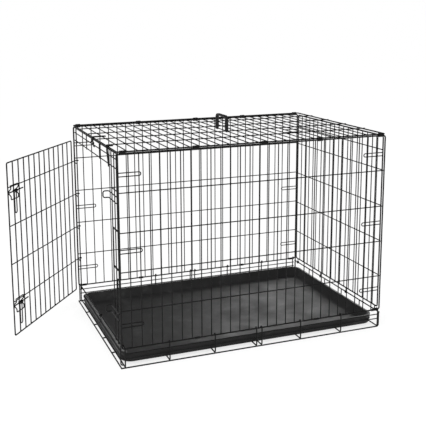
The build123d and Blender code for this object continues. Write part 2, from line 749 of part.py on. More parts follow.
# Carry handle: a moulded bail on two clips round the roof's middle cross wire
handle_top = TOP_Z + HANDLE_HEIGHT
leg_foot = TOP_Z + CLIP_R / 2
handle_half = HANDLE_SPAN / 2
with BuildPart() as handle_grip:
    with BuildSketch(Plane.YZ.offset(-HANDLE_WIDTH / 2)):
        with BuildLine():
            FilletPolyline(
                (-handle_half - HANDLE_THICK / 2, leg_foot),
                (-handle_half - HANDLE_THICK / 2, handle_top),
                (handle_half + HANDLE_THICK / 2, handle_top),
                (handle_half + HANDLE_THICK / 2, leg_foot),
                radius=HANDLE_OUTER_BEND,
            )
            Line((handle_half + HANDLE_THICK / 2, leg_foot), (handle_half - HANDLE_THICK / 2, leg_foot))
            FilletPolyline(
                (handle_half - HANDLE_THICK / 2, leg_foot),
                (handle_half - HANDLE_THICK / 2, handle_top - HANDLE_THICK),
                (-handle_half + HANDLE_THICK / 2, handle_top - HANDLE_THICK),
                (-handle_half + HANDLE_THICK / 2, leg_foot),
                radius=HANDLE_INNER_BEND,
            )
            Line((-handle_half + HANDLE_THICK / 2, leg_foot), (-handle_half - HANDLE_THICK / 2, leg_foot))
        make_face()
    extrude(amount=HANDLE_WIDTH)
    fillet(handle_grip.faces().filter_by(Axis.X).edges(), HANDLE_EDGE_R)
    with BuildSketch(Plane.XZ.offset(-handle_half - HANDLE_THICK)):
        with Locations((0, TOP_Z)):
            Circle(CLIP_R + TOUCH)
    extrude(amount=2 * (handle_half + HANDLE_THICK), mode=Mode.SUBTRACT)
keep(handle_grip, "handle_grip")

with BuildPart() as handle_clips:
    for clip_y in (-handle_half, handle_half):
        with BuildSketch(Plane.XZ.offset(-clip_y - CLIP_LENGTH / 2)):
            with Locations((0, TOP_Z)):
                Circle(CLIP_R)
                Circle(WIRE_R + RUNNING_GAP, mode=Mode.SUBTRACT)
        extrude(amount=CLIP_LENGTH)
keep(handle_clips, "handle_clips")
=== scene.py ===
"""Looks of a folding wire dog crate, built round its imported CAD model.

The wires, hooks and latches of the CAD model stay and get their coatings here. The floor tray
and the carry handle are modelled as moulded plastic, and the panels get their weld beads.
Sizes are in metres.
"""

import json
import logging
import math
from dataclasses import dataclass, field
from enum import Enum
from typing import Callable, Iterable

import bmesh
import bpy
from mathutils import Matrix, Vector


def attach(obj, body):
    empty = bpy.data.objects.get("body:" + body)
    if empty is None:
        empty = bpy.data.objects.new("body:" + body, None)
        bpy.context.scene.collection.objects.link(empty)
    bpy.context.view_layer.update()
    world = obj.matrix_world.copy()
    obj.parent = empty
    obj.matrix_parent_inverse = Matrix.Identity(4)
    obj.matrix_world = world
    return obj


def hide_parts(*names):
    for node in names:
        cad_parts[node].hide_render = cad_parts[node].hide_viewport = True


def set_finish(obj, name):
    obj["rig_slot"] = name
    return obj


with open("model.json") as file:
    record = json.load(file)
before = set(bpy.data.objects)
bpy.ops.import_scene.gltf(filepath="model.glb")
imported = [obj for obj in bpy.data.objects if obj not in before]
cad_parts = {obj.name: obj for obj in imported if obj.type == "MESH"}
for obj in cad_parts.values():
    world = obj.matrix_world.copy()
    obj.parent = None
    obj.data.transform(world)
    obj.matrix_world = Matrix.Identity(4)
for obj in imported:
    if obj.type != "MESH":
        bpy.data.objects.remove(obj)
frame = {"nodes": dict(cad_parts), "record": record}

LOG = logging.getLogger("dog_crate")
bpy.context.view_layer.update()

# Sockets by place, for the nodes on which several sockets share a name.
MIX_FLOAT_A, MIX_FLOAT_B, MIX_FLOAT_RESULT = 2, 3, 0
MIX_COLOUR_A, MIX_COLOUR_B, MIX_COLOUR_RESULT = 6, 7, 2
MIX_SHADER_A, MIX_SHADER_B = 1, 2
MATH_A, MATH_B = 0, 1

MERGE_DISTANCE = 1e-6
SAME_HEIGHT = 1e-5
ROUNDING_STEPS = 2
QUARTER_TURN = math.pi / 2

Point = tuple[float, float, float]
Colour = tuple[float, float, float, float]


class Slot(str, Enum):
    """Material slots of the record."""

    PANEL_WIRE = "panel_wire"
    BASE_WIRE = "base_wire"
    LATCH_WIRE = "latch_wire"
    CLIP_STEEL = "clip_steel"
    TRAY_PLASTIC = "tray_plastic"
    HANDLE_PLASTIC = "handle_plastic"


class Body(str, Enum):
    """CAD bodies that new pieces ride on."""

    CRATE = "crate"
    DOOR = "door"
    REAR_END = "rear_end"
    TRAY = "tray"
    HANDLE = "handle"


class Side(Enum):
    """Long sides of the crate, by the sign of their Y."""

    FRONT = -1
    BACK = 1


class Element(str, Enum):
    """Mesh elements that are picked for shaping."""

    EDGE = "EDGE"
    FACE = "FACE"


def grey(level: float) -> Colour:
    """A neutral colour of a linear level from 0 to 1, with full alpha."""
    return (level, level, level, 1.0)


class NodeSheet:
    """Adds and joins nodes in one node tree."""

    def __init__(self, tree: bpy.types.NodeTree) -> None:
        """Takes an empty tree to fill."""
        self.tree = tree

    def add(self, kind: str, **settings: object) -> bpy.types.Node:
        """Adds a node and sets its properties or unlinked inputs.

        Args:
            kind: the node's type name.
            settings: properties by name, or inputs by name with spaces as underscores.

        Returns:
            The new node.
        """
        node = self.tree.nodes.new(kind)
        for name, value in settings.items():
            if hasattr(node, name):
                setattr(node, name, value)
            else:
                node.inputs[name.replace("_", " ")].default_value = value
        return node

    def join(self, source: bpy.types.NodeSocket, target: bpy.types.NodeSocket) -> None:
        """Links an output to an input."""
        self.tree.links.new(source, target)


def new_group(
    name: str, inputs: dict[str, tuple[str, object]], outputs: dict[str, str]
) -> tuple[bpy.types.NodeTree, NodeSheet, bpy.types.Node, bpy.types.Node]:
    """Makes an empty shader node group with named sockets.

    Args:
        name: the group's name.
        inputs: socket name to (socket type, default value or None).
        outputs: socket name to socket type.

    Returns:
        The tree, its sheet, its input node and its output node.
    """
    tree = bpy.data.node_groups.new(name, "ShaderNodeTree")
    for label, (kind, default) in inputs.items():
        socket = tree.interface.new_socket(name=label, in_out="INPUT", socket_type=kind)
        if default is not None:
            socket.default_value = default
    for label, kind in outputs.items():
        tree.interface.new_socket(name=label, in_out="OUTPUT", socket_type=kind)
    sheet = NodeSheet(tree)
    return tree, sheet, sheet.add("NodeGroupInput"), sheet.add("NodeGroupOutput")


class Effects:
    """Shader node groups that the finishes share."""

    def __init__(self) -> None:
        """Builds every group once."""
        self.mottle = self._mottle()
        self.grain = self._grain()
        self.rub = self._rub()

    @staticmethod
    def _mottle() -> bpy.types.NodeTree:
        """Cloudy variation between two colours.

        Returns:
            A group with Color and Mask outputs.
        """
        tree, sheet, inlet, outlet = new_group(
            "coat_mottle",
            {
                "Vector": ("NodeSocketVector", None),
                "Scale": ("NodeSocketFloat", 30.0),
                "Dark": ("NodeSocketColor", grey(0.01)),
                "Light": ("NodeSocketColor", grey(0.02)),
            },
            {"Color": "NodeSocketColor", "Mask": "NodeSocketFloat"},
        )
        cloud = sheet.add("ShaderNodeTexNoise", Detail=5.0, Roughness=0.62)
        spread = sheet.add("ShaderNodeMapRange", From_Min=0.32, From_Max=0.68)
        blend = sheet.add("ShaderNodeMix", data_type="RGBA")
        sheet.join(inlet.outputs["Vector"], cloud.inputs["Vector"])
        sheet.join(inlet.outputs["Scale"], cloud.inputs["Scale"])
        sheet.join(cloud.outputs["Fac"], spread.inputs["Value"])
        sheet.join(spread.outputs["Result"], blend.inputs["Factor"])
        sheet.join(inlet.outputs["Dark"], blend.inputs[MIX_COLOUR_A])
        sheet.join(inlet.outputs["Light"], blend.inputs[MIX_COLOUR_B])
        sheet.join(blend.outputs[MIX_COLOUR_RESULT], outlet.inputs["Color"])
        sheet.join(spread.outputs["Result"], outlet.inputs["Mask"])
        return tree

    @staticmethod
    def _grain() -> bpy.types.NodeTree:
        """Fine pimpled skin of a baked coating or a grained moulding.

        Returns:
            A group with a Height output.
        """
        tree, sheet, inlet, outlet = new_group(
            "fine_grain",
            {
                "Vector": ("NodeSocketVector", None),
                "Scale": ("NodeSocketFloat", 700.0),
                "Pimple": ("NodeSocketFloat", 0.5),
            },
            {"Height": "NodeSocketFloat"},
        )
        cells = sheet.add("ShaderNodeTexVoronoi", feature="SMOOTH_F1", Smoothness=0.6)
        cloud = sheet.add("ShaderNodeTexNoise", Detail=3.0)
        blend = sheet.add("ShaderNodeMix", data_type="FLOAT")
        for texture in (cells, cloud):
            sheet.join(inlet.outputs["Vector"], texture.inputs["Vector"])
            sheet.join(inlet.outputs["Scale"], texture.inputs["Scale"])
        sheet.join(inlet.outputs["Pimple"], blend.inputs["Factor"])
        sheet.join(cloud.outputs["Fac"], blend.inputs[MIX_FLOAT_A])
        sheet.join(cells.outputs["Distance"], blend.inputs[MIX_FLOAT_B])
        sheet.join(blend.outputs[MIX_FLOAT_RESULT], outlet.inputs["Height"])
        return tree

    @staticmethod
    def _rub() -> bpy.types.NodeTree:
        """Scattered rubbed or scuffed spots.

        Returns:
            A group with a Mask output.
        """
        tree, sheet, inlet, outlet = new_group(
            "rub_marks",
            {
                "Vector": ("NodeSocketVector", None),
                "Scale": ("NodeSocketFloat", 60.0),
                "Cut": ("NodeSocketFloat", 0.6),
                "Soft": ("NodeSocketFloat", 0.1),
            },
            {"Mask": "NodeSocketFloat"},
        )
        cloud = sheet.add("ShaderNodeTexNoise", Detail=6.0, Roughness=0.7)
        high = sheet.add("ShaderNodeMath", operation="ADD")
        spread = sheet.add("ShaderNodeMapRange")
        sheet.join(inlet.outputs["Vector"], cloud.inputs["Vector"])
        sheet.join(inlet.outputs["Scale"], cloud.inputs["Scale"])
        sheet.join(inlet.outputs["Cut"], high.inputs[MATH_A])
        sheet.join(inlet.outputs["Soft"], high.inputs[MATH_B])
        sheet.join(cloud.outputs["Fac"], spread.inputs["Value"])
        sheet.join(inlet.outputs["Cut"], spread.inputs["From Min"])
        sheet.join(high.outputs["Value"], spread.inputs["From Max"])
        sheet.join(spread.outputs["Result"], outlet.inputs["Mask"])
        return tree


@dataclass(frozen=True)
class Finish:
    """A black finish with mottled colour, uneven gloss, grain and rubbed spots."""

    slot: Slot
    dark: Colour
    light: Colour
    rubbed: Colour
    roughness: tuple[float, float]
    mottle_scale: float
    grain_scale: float
    grain_depth: float
    pimple: float
    rub_scale: float
    rub_cut: float
    rub_soft: float
    specular: float
    coat: float
    coat_roughness: float

    def build(self, effects: Effects) -> bpy.types.Material:
        """Makes the material.

        Args:
            effects: the shared node groups.

        Returns:
            The finished material.
        """
        material = bpy.data.materials.new(self.slot.value)
        material.use_nodes = True
        tree = material.node_tree
        tree.nodes.clear()
        sheet = NodeSheet(tree)
        place = sheet.add("ShaderNodeTexCoord").outputs["Object"]
        surface = sheet.add("ShaderNodeBsdfPrincipled")
        surface.inputs["Specular IOR Level"].default_value = self.specular
        surface.inputs["Coat Weight"].default_value = self.coat
        surface.inputs["Coat Roughness"].default_value = self.coat_roughness
        result = sheet.add("ShaderNodeOutputMaterial")
        sheet.join(surface.outputs["BSDF"], result.inputs["Surface"])

        mottle = sheet.add("ShaderNodeGroup", node_tree=effects.mottle)
        mottle.inputs["Scale"].default_value = self.mottle_scale
        mottle.inputs["Dark"].default_value = self.dark
        mottle.inputs["Light"].default_value = self.light
        rub = sheet.add("ShaderNodeGroup", node_tree=effects.rub)
        rub.inputs["Scale"].default_value = self.rub_scale
        rub.inputs["Cut"].default_value = self.rub_cut
        rub.inputs["Soft"].default_value = self.rub_soft
        grain = sheet.add("ShaderNodeGroup", node_tree=effects.grain)
        grain.inputs["Scale"].default_value = self.grain_scale
        grain.inputs["Pimple"].default_value = self.pimple
        for group in (mottle, rub, grain):
            sheet.join(place, group.inputs["Vector"])

        tint = sheet.add("ShaderNodeMix", data_type="RGBA")
        tint.inputs[MIX_COLOUR_B].default_value = self.rubbed
        sheet.join(rub.outputs["Mask"], tint.inputs["Factor"])
        sheet.join(mottle.outputs["Color"], tint.inputs[MIX_COLOUR_A])
        sheet.join(tint.outputs[MIX_COLOUR_RESULT], surface.inputs["Base Color"])

        smooth, rough = self.roughness
        gloss = sheet.add("ShaderNodeMapRange", To_Min=smooth, To_Max=rough)
        sheet.join(mottle.outputs["Mask"], gloss.inputs["Value"])
        sheet.join(gloss.outputs["Result"], surface.inputs["Roughness"])

        skin = sheet.add("ShaderNodeBump", Distance=self.grain_depth)
        sheet.join(grain.outputs["Height"], skin.inputs["Height"])
        sheet.join(skin.outputs["Normal"], surface.inputs["Normal"])
        return material


FINISHES = (
    Finish(
        slot=Slot.PANEL_WIRE,
        dark=grey(0.004),
        light=grey(0.007),
        rubbed=grey(0.014),
        roughness=(0.34, 0.46),
        mottle_scale=42.0,
        grain_scale=900.0,
        grain_depth=0.00006,
        pimple=0.35,
        rub_scale=75.0,
        rub_cut=0.66,
        rub_soft=0.08,
        specular=0.12,
        coat=0.0,
        coat_roughness=0.25,
    ),
    Finish(
        slot=Slot.BASE_WIRE,
        dark=grey(0.004),
        light=grey(0.007),
        rubbed=grey(0.016),
        roughness=(0.38, 0.5),
        mottle_scale=36.0,
        grain_scale=820.0,
        grain_depth=0.00007,
        pimple=0.4,
        rub_scale=60.0,
        rub_cut=0.64,
        rub_soft=0.1,
        specular=0.14,
        coat=0.0,
        coat_roughness=0.3,
    ),
    Finish(
        slot=Slot.LATCH_WIRE,
        dark=grey(0.004),
        light=grey(0.007),
        rubbed=grey(0.035),
        roughness=(0.28, 0.42),
        mottle_scale=55.0,
        grain_scale=900.0,
        grain_depth=0.00005,
        pimple=0.35,
        rub_scale=95.0,
        rub_cut=0.64,
        rub_soft=0.06,
        specular=0.16,
        coat=0.02,
        coat_roughness=0.2,
    ),
    Finish(
        slot=Slot.CLIP_STEEL,
        dark=grey(0.004),
        light=grey(0.008),
        rubbed=grey(0.03),
        roughness=(0.3, 0.45),
        mottle_scale=70.0,
        grain_scale=950.0,
        grain_depth=0.00005,
        pimple=0.35,
        rub_scale=110.0,
        rub_cut=0.64,
        rub_soft=0.06,
        specular=0.16,
        coat=0.02,
        coat_roughness=0.2,
    ),
    Finish(
        slot=Slot.TRAY_PLASTIC,
        dark=grey(0.011),
        light=grey(0.019),
        rubbed=grey(0.038),
        roughness=(0.38, 0.60),
        mottle_scale=9.0,
        grain_scale=640.0,
        grain_depth=0.00012,
        pimple=0.6,
        rub_scale=12.0,
        rub_cut=0.54,
        rub_soft=0.2,
        specular=0.2,
        coat=0.0,
        coat_roughness=0.3,
    ),
    Finish(
        slot=Slot.HANDLE_PLASTIC,
        dark=grey(0.006),
        light=grey(0.01),
        rubbed=grey(0.02),
        roughness=(0.4, 0.54),
        mottle_scale=60.0,
        grain_scale=1100.0,
        grain_depth=0.00006,
        pimple=0.7,
        rub_scale=90.0,
        rub_cut=0.62,
        rub_soft=0.1,
        specular=0.35,
        coat=0.0,
        coat_roughness=0.3,
    ),
)


class Workbench:
    """Mesh modelling by operators, one piece at a time."""

    @staticmethod
    def clear() -> None:
        """Deselects everything in object mode."""
        if bpy.context.object and bpy.context.object.mode != "OBJECT":
            bpy.ops.object.mode_set(mode="OBJECT")
        bpy.ops.object.select_all(action="DESELECT")

    @classmethod
    def start(
        cls, name: str, primitive: Callable[..., set], **settings: object
    ) -> bpy.types.Object:
        """Adds a primitive as the start of a piece and opens it for editing.

        Args:
            name: the piece's name.
            primitive: the operator that adds it.
            settings: the operator's own values.

        Returns:
            The new object, in edit mode with all of it selected.
        """
        cls.clear()
        primitive(**settings)
        piece = bpy.context.object
        piece.name = name
        piece.data.name = name
        bpy.ops.object.mode_set(mode="EDIT")
        bpy.ops.mesh.select_all(action="SELECT")
        return piece

    @staticmethod
    def pick(piece: bpy.types.Object, kind: Element, test: Callable[[object], bool]) -> None:
        """Selects faces or edges by a test of their place.

        Args:
            piece: the object in edit mode.
            kind: what is selected.
            test: says whether an element is taken.
        """
        bpy.ops.mesh.select_mode(type=kind.value)
        bpy.ops.mesh.select_all(action="DESELECT")
        mesh = bmesh.from_edit_mesh(piece.data)
        elements = mesh.faces if kind is Element.FACE else mesh.edges
        for element in elements:
            if test(element):
                element.select_set(True)
        mesh.select_flush_mode()
        bmesh.update_edit_mesh(piece.data)

    @staticmethod
    def extrude(offset: Point) -> None:
        """Extrudes what is selected by an offset."""
        bpy.ops.mesh.extrude_region_move(TRANSFORM_OT_translate={"value": offset})

    @staticmethod
    def modifier(piece: bpy.types.Object, kind: str, **settings: object) -> None:
        """Adds a modifier to a piece in object mode and applies it.

        Args:
            piece: the object.
            kind: the modifier's type.
            settings: its properties.
        """
        bpy.context.view_layer.objects.active = piece
        added = piece.modifiers.new(kind.lower(), kind)
        for name, value in settings.items():
            setattr(added, name, value)
        bpy.ops.object.modifier_apply(modifier=added.name)

    @classmethod
    def soften(cls, piece: bpy.types.Object, width: float, angle: float) -> None:
        """Rounds a piece's sharp edges.

        Args:
            piece: the object in object mode.
            width: how wide the rounding is.
            angle: edges sharper than this are rounded, in degrees.
        """
        cls.modifier(
            piece,
            "BEVEL",
            width=width,
            segments=ROUNDING_STEPS,
            limit_method="ANGLE",
            angle_limit=math.radians(angle),
        )

    @staticmethod
    def close() -> None:
        """Leaves edit mode with doubles merged and normals outwards."""
        bpy.ops.mesh.select_all(action="SELECT")
        bpy.ops.mesh.remove_doubles(threshold=MERGE_DISTANCE)
        bpy.ops.mesh.normals_make_consistent(inside=False)
        bpy.ops.object.mode_set(mode="OBJECT")

    @classmethod
    def apply_place(cls, piece: bpy.types.Object) -> None:
        """Puts a piece's place, turn and scale into its mesh and leaves it selected.

        Args:
            piece: the object in object mode.
        """
        cls.clear()
        piece.select_set(True)
        bpy.context.view_layer.objects.active = piece
        bpy.ops.object.transform_apply(location=True, rotation=True, scale=True)

    @classmethod
    def settle(
        cls, piece: bpy.types.Object, body: Body, slot: Slot, angle: float = 40.0
    ) -> None:
        """Smooths a finished piece and seats it on its body.

        Args:
            piece: the object in object mode.
            body: the CAD body that it rides on.
            slot: the record's slot of its finish.
            angle: edges sharper than this stay sharp, in degrees.
        """
        cls.apply_place(piece)
        bpy.ops.object.shade_smooth_by_angle(angle=math.radians(angle))
        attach(piece, body.value)
        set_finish(piece, slot.value)
        LOG.info("%s: %d faces on %s", piece.name, len(piece.data.polygons), body.value)


@dataclass
class SubAssembly:
    """New pieces that are modelled and dressed together."""

    pieces: list[bpy.types.Object] = field(default_factory=list, init=False)

    def dress(self, materials: dict[Slot, bpy.types.Material]) -> None:
        """Gives each piece the finish of its slot.

        Args:
            materials: the finishes by slot.
        """
        for piece in self.pieces:
            piece.data.materials.clear()
            piece.data.materials.append(materials[Slot(piece["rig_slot"])])


@dataclass
class WeldRow:
    """A grid of weld beads where two layers of wire cross."""

    name: str
    first: Point
    across: Point
    across_count: int
    up: Point
    up_count: int
    facing: float = 0.0
    tilt: float = 0.0
    radius: float = 0.0029
    half_thick: float = 0.0016
    pinch: float = 0.72
    segments: int = 8
    rings: int = 6
    cap_normal: float = 0.9

    def build(self) -> bpy.types.Object:
        """Models one bead and repeats it over the grid.

        Returns:
            The row as one object, still unsettled.
        """
        bead = Workbench.start(
            self.name,
            bpy.ops.mesh.primitive_uv_sphere_add,
            segments=self.segments,
            ring_count=self.rings,
            radius=self.radius,
            location=self.first,
            rotation=(self.tilt, 0.0, self.facing),
        )
        flat = self.half_thick / self.radius
        bpy.ops.transform.resize(value=(1, 1, flat), orient_type="LOCAL")
        Workbench.pick(bead, Element.FACE, lambda face: abs(face.normal.z) > self.cap_normal)
        bpy.ops.transform.resize(value=(self.pinch, self.pinch, 1), orient_type="LOCAL")
        Workbench.close()
        Workbench.apply_place(bead)
        for step, count in ((self.across, self.across_count), (self.up, self.up_count)):
            Workbench.modifier(
                bead,
                "ARRAY",
                count=count,
                use_relative_offset=False,
                use_constant_offset=True,
                constant_offset_displace=step,
            )
        return bead


@dataclass
class WirePanels(SubAssembly):
    """Weld beads of the flat wire panels, at the CAD's crossings."""

    half_length: float = 0.5334
    half_width: float = 0.362
    pitch: float = 0.0381
    bays: int = 28
    rail_z: float = 0.075
    top_z: float = 0.787
    side_top_z: float = 0.7814
    levels: int = 4
    layer: float = 0.0036
    edge_bead_radius: float = 0.0027
    edge_bead_half_thick: float = 0.0018
    edge_bead_in: float = 0.0022
    roof_half_width: float = 0.359
    roof_wires: int = 4
    rear_half_width: float = 0.349
    rear_bays: int = 19
    rear_bottom_z: float = 0.081
    end_top_z: float = 0.778
    door_axis: tuple[float, float] = (-0.5339, 0.306)
    door_open: float = math.radians(37.5)
    door_hinge_side: float = 0.033
    door_reach: float = 0.548
    door_bays: int = 13
    door_face_out: float = 0.0085
    door_bottom_z: float = 0.086
    door_top_z: float = 0.733
    door_bead_radius: float = 0.0026
    door_bead_in: float = 0.002
    smooth_degrees: float = 60.0

    def _level_step(self) -> float:
        """Height between two level wires."""
        return (self.top_z - self.rail_z) / (self.levels + 1)

    def _keep(self, name: str, body: Body, rows: Iterable[WeldRow]) -> None:
        """Joins rows of beads into one piece of a panel.

        Args:
            name: the piece's name.
            body: the CAD body that the panel is on.
            rows: the rows of beads.
        """
        built = [row.build() for row in rows]
        Workbench.clear()
        for beads in built:
            beads.select_set(True)
        bpy.context.view_layer.objects.active = built[0]
        bpy.ops.object.join()
        joined = bpy.context.object
        joined.name = name
        joined.data.name = name
        Workbench.settle(joined, body, Slot.PANEL_WIRE, self.smooth_degrees)
        self.pieces.append(joined)

    def side(self, name: str, side: Side) -> None:
        """Beads of a long side.

        Args:
            name: the piece's name.
            side: which long side it is.
        """
        start = -self.half_length + self.pitch
        run = (self.pitch, 0.0, 0.0)
        step = self._level_step()
        count = self.bays - 1
        out = side.value * (self.half_width + self.layer / 2)
        rise = self.side_top_z - self.rail_z
        crossings = WeldRow(
            name=name + "_crossings",
            first=(start, out, self.rail_z + step),
            across=run,
            across_count=count,
            up=(0.0, 0.0, step),
            up_count=self.levels,
            tilt=QUARTER_TURN,
        )
        ends = WeldRow(
            name=name + "_ends",
            first=(start, side.value * self.half_width, self.rail_z + self.edge_bead_in),
            across=run,
            across_count=count,
            up=(0.0, 0.0, rise - 2 * self.edge_bead_in),
            up_count=2,
            radius=self.edge_bead_radius,
            half_thick=self.edge_bead_half_thick,
        )
        self._keep(name, Body.CRATE, (crossings, ends))

    def roof(self) -> None:
        """Beads of the roof."""
        start = -self.half_length + self.pitch
        run = (self.pitch, 0.0, 0.0)
        count = self.bays - 1
        wire_step = 2 * self.half_width / (self.roof_wires + 1)
        first_y = -wire_step * (self.roof_wires - 1) / 2
        edge_y = self.roof_half_width - self.edge_bead_in
        crossings = WeldRow(
            name="roof_crossings",
            first=(start, first_y, self.top_z + self.layer / 2),
            across=run,
            across_count=count,
            up=(0.0, wire_step, 0.0),
            up_count=self.roof_wires,
        )
        ends = WeldRow(
            name="roof_ends",
            first=(start, -edge_y, self.top_z),
            across=run,
            across_count=count,
            up=(0.0, 2 * edge_y, 0.0),
            up_count=2,
            tilt=QUARTER_TURN,
            radius=self.edge_bead_radius,
            half_thick=self.edge_bead_half_thick,
        )
        self._keep("roof_welds", Body.CRATE, (crossings, ends))

    def rear(self) -> None:
        """Beads of the rear panel."""
        step_y = 2 * self.rear_half_width / self.rear_bays
        start = -self.rear_half_width + step_y
        run = (0.0, step_y, 0.0)
        count = self.rear_bays - 1
        step = self._level_step()
        inside = self.half_length - self.layer / 2
        rise = self.end_top_z - self.rear_bottom_z
        crossings = WeldRow(
            name="rear_crossings",
            first=(inside, start, self.rail_z + step),
            across=run,
            across_count=count,
            up=(0.0, 0.0, step),
            up_count=self.levels,
            tilt=QUARTER_TURN,
            facing=QUARTER_TURN,
        )
        ends = WeldRow(
            name="rear_ends",
            first=(self.half_length, start, self.rear_bottom_z + self.edge_bead_in),
            across=run,
            across_count=count,
            up=(0.0, 0.0, rise - 2 * self.edge_bead_in),
            up_count=2,
            radius=self.edge_bead_radius,
            half_thick=self.edge_bead_half_thick,
        )
        self._keep("rear_panel_welds", Body.REAR_END, (crossings, ends))

    def door(self) -> None:
        """Beads of the door, in its open place."""
        along = Vector((-math.sin(self.door_open), -math.cos(self.door_open), 0.0))
        out = Vector((-math.cos(self.door_open), math.sin(self.door_open), 0.0))
        axis = Vector((*self.door_axis, 0.0))
        bay = (self.door_reach - self.door_hinge_side) / self.door_bays
        first = axis + along * (self.door_hinge_side + bay)
        run = tuple(along * bay)
        step = self._level_step()
        count = self.door_bays - 1
        rise = self.door_top_z - self.door_bottom_z
        weld = first + out * (self.door_face_out - self.layer / 2)
        face = first + out * self.door_face_out
        crossings = WeldRow(
            name="door_crossings",
            first=(weld.x, weld.y, self.rail_z + step),
            across=run,
            across_count=count,
            up=(0.0, 0.0, step),
            up_count=self.levels,
            tilt=QUARTER_TURN,
            facing=QUARTER_TURN - self.door_open,
        )
        ends = WeldRow(
            name="door_ends",
            first=(face.x, face.y, self.door_bottom_z + self.door_bead_in),
            across=run,
            across_count=count,
            up=(0.0, 0.0, rise - 2 * self.door_bead_in),
            up_count=2,
            radius=self.door_bead_radius,
            half_thick=self.edge_bead_half_thick,
        )
        self._keep("door_welds", Body.DOOR, (crossings, ends))

    def build(self) -> None:
        """Makes the beads of every panel."""
        self.side("front_side_welds", Side.FRONT)
        self.side("back_side_welds", Side.BACK)
        self.roof()
        self.rear()
        self.door()


@dataclass
class FloorTray(SubAssembly):
    """Moulded floor tray: skirt with a ridge, flat rim, sloping walls and a plain floor."""

    length: float = 1.056
    width: float = 0.676
    corner_radius: float = 0.042
    corner_steps: int = 12
    rim_z: float = 0.044
    rim_width: float = 0.008
    rim_drop: float = 0.0035
    lip_height: float = 0.0006
    lip_inset: float = 0.0024
    floor_inset: float = 0.038
    floor_z: float = 0.0126
    fold_radius: float = 0.007
    fold_steps: int = 5
    ridge_top_z: float = 0.0305
    ridge_top_inset: float = 0.0034
    ridge_slope: float = 0.0042
    ridge_inset: float = 0.0002
    ridge_low_z: float = 0.0225
    ridge_low_inset: float = 0.0032
    ridge_under: float = 0.0020
    foot_z: float = 0.010
    foot_inset: float = 0.0040
    wall: float = 0.0024
    edge_round: float = 0.0007
    sharp_degrees: float = 35.0

    def _draw_in(self, inset: float, now: float) -> None:
        """Draws the selected loop in from one inset of the outline to another.

        Args:
            inset: the new distance in from the outline, in metres.
            now: the loop's present distance.
        """
        factor_x = (self.length - 2 * inset) / (self.length - 2 * now)
        factor_y = (self.width - 2 * inset) / (self.width - 2 * now)
        bpy.ops.transform.resize(value=(factor_x, factor_y, 1), center_override=(0, 0, 0))

    def _round_the_floor(self, edge: bmesh.types.BMEdge) -> bool:
        """Whether an edge lies round the floor."""
        return all(
            abs(vert.co.z + self.rim_z - self.floor_z) < SAME_HEIGHT for vert in edge.verts
        )

    def _skirt(self, tray: bpy.types.Object) -> None:
        """Extrudes the skirt down from the rim's outer edge.

        Args:
            tray: the tray in edit mode.
        """
        Workbench.pick(tray, Element.EDGE, lambda edge: edge.is_boundary)
        profile = (
            (self.rim_z - self.rim_drop, 0.0),
            (self.rim_z - self.rim_drop - self.lip_height, self.lip_inset),
            (self.ridge_top_z, self.ridge_top_inset),
            (self.ridge_top_z - self.ridge_slope, self.ridge_inset),
            (self.ridge_low_z + self.ridge_under, self.ridge_inset),
            (self.ridge_low_z, self.ridge_low_inset),
            (self.foot_z, self.foot_inset),
        )
        height, inset = self.rim_z, 0.0
        for new_height, new_inset in profile:
            Workbench.extrude((0, 0, new_height - height))
            self._draw_in(new_inset, inset)
            height, inset = new_height, new_inset

    def build(self) -> None:
        """Models the tray."""
        tray = Workbench.start(
            "moulded_tray",
            bpy.ops.mesh.primitive_plane_add,
            size=1.0,
            location=(0, 0, self.rim_z),
        )
        bpy.ops.transform.resize(
            value=(self.length, self.width, 1), center_override=(0, 0, 0)
        )
        bpy.ops.mesh.bevel(
            offset=self.corner_radius, segments=self.corner_steps, affect="VERTICES"
        )
        Workbench.pick(tray, Element.FACE, lambda face: True)
        bpy.ops.mesh.inset(thickness=self.rim_width)
        Workbench.extrude((0, 0, self.floor_z - self.rim_z))
        self._draw_in(self.floor_inset, self.rim_width)
        Workbench.pick(tray, Element.EDGE, self._round_the_floor)
        bpy.ops.mesh.bevel(
            offset=self.fold_radius, segments=self.fold_steps, affect="EDGES"
        )
        self._skirt(tray)
        Workbench.close()
        Workbench.modifier(tray, "SOLIDIFY", thickness=self.wall, offset=-1.0)
        Workbench.soften(tray, self.edge_round, self.sharp_degrees)
        Workbench.settle(tray, Body.TRAY, Slot.TRAY_PLASTIC)
        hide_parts("tray")
        self.pieces.append(tray)


